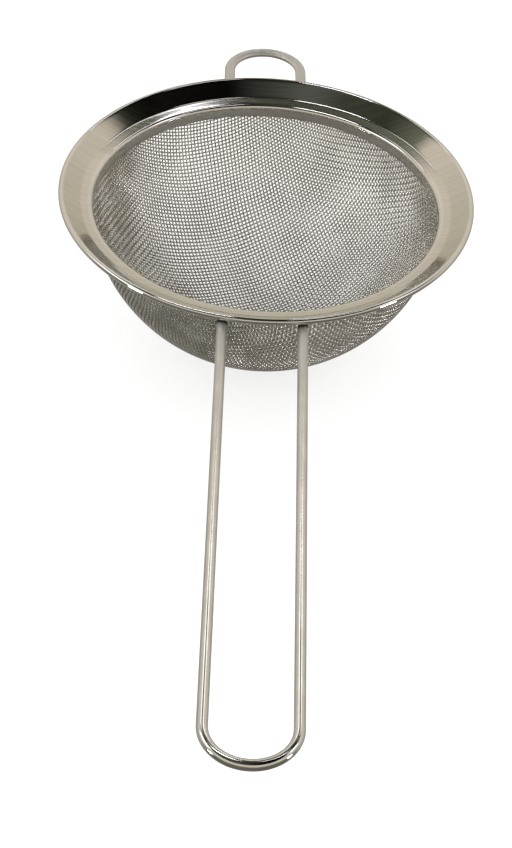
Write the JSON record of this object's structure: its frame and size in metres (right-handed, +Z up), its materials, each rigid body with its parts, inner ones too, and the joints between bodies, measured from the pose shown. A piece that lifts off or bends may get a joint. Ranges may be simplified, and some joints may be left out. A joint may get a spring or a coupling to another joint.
{
  "type": "tea strainer",
  "caption": "Round tea strainer: a woven wire bowl in a flared pressed rim, with a long looped wire handle and a short wire rest opposite it.",
  "frame": {"origin": "on the bowl's axis, in the plane of the wires' undersides, where the strainer sits on the lip of a cup", "axes": "+Z up along the bowl's axis, out of its mouth; -Y along the handle, +Y towards the short rest; +X to the right seen from the handle's end"},
  "size_m": [0.085, 0.2089, 0.0371],
  "materials": {
    "pressed_steel": "pressed stainless sheet, brushed satin, polished along its bends",
    "woven_wire": "fine bright stainless wire, plain weave",
    "band_steel": "thin stainless strip, dull",
    "drawn_wire": "drawn stainless wire, polished"
  },
  "bodies": {
    "root": {"rim": "pressed_steel", "mesh_bowl": "woven_wire", "clamp_band": "band_steel", "handle_wire": "drawn_wire", "rest_hook": "drawn_wire"}
  },
  "joints": []
}
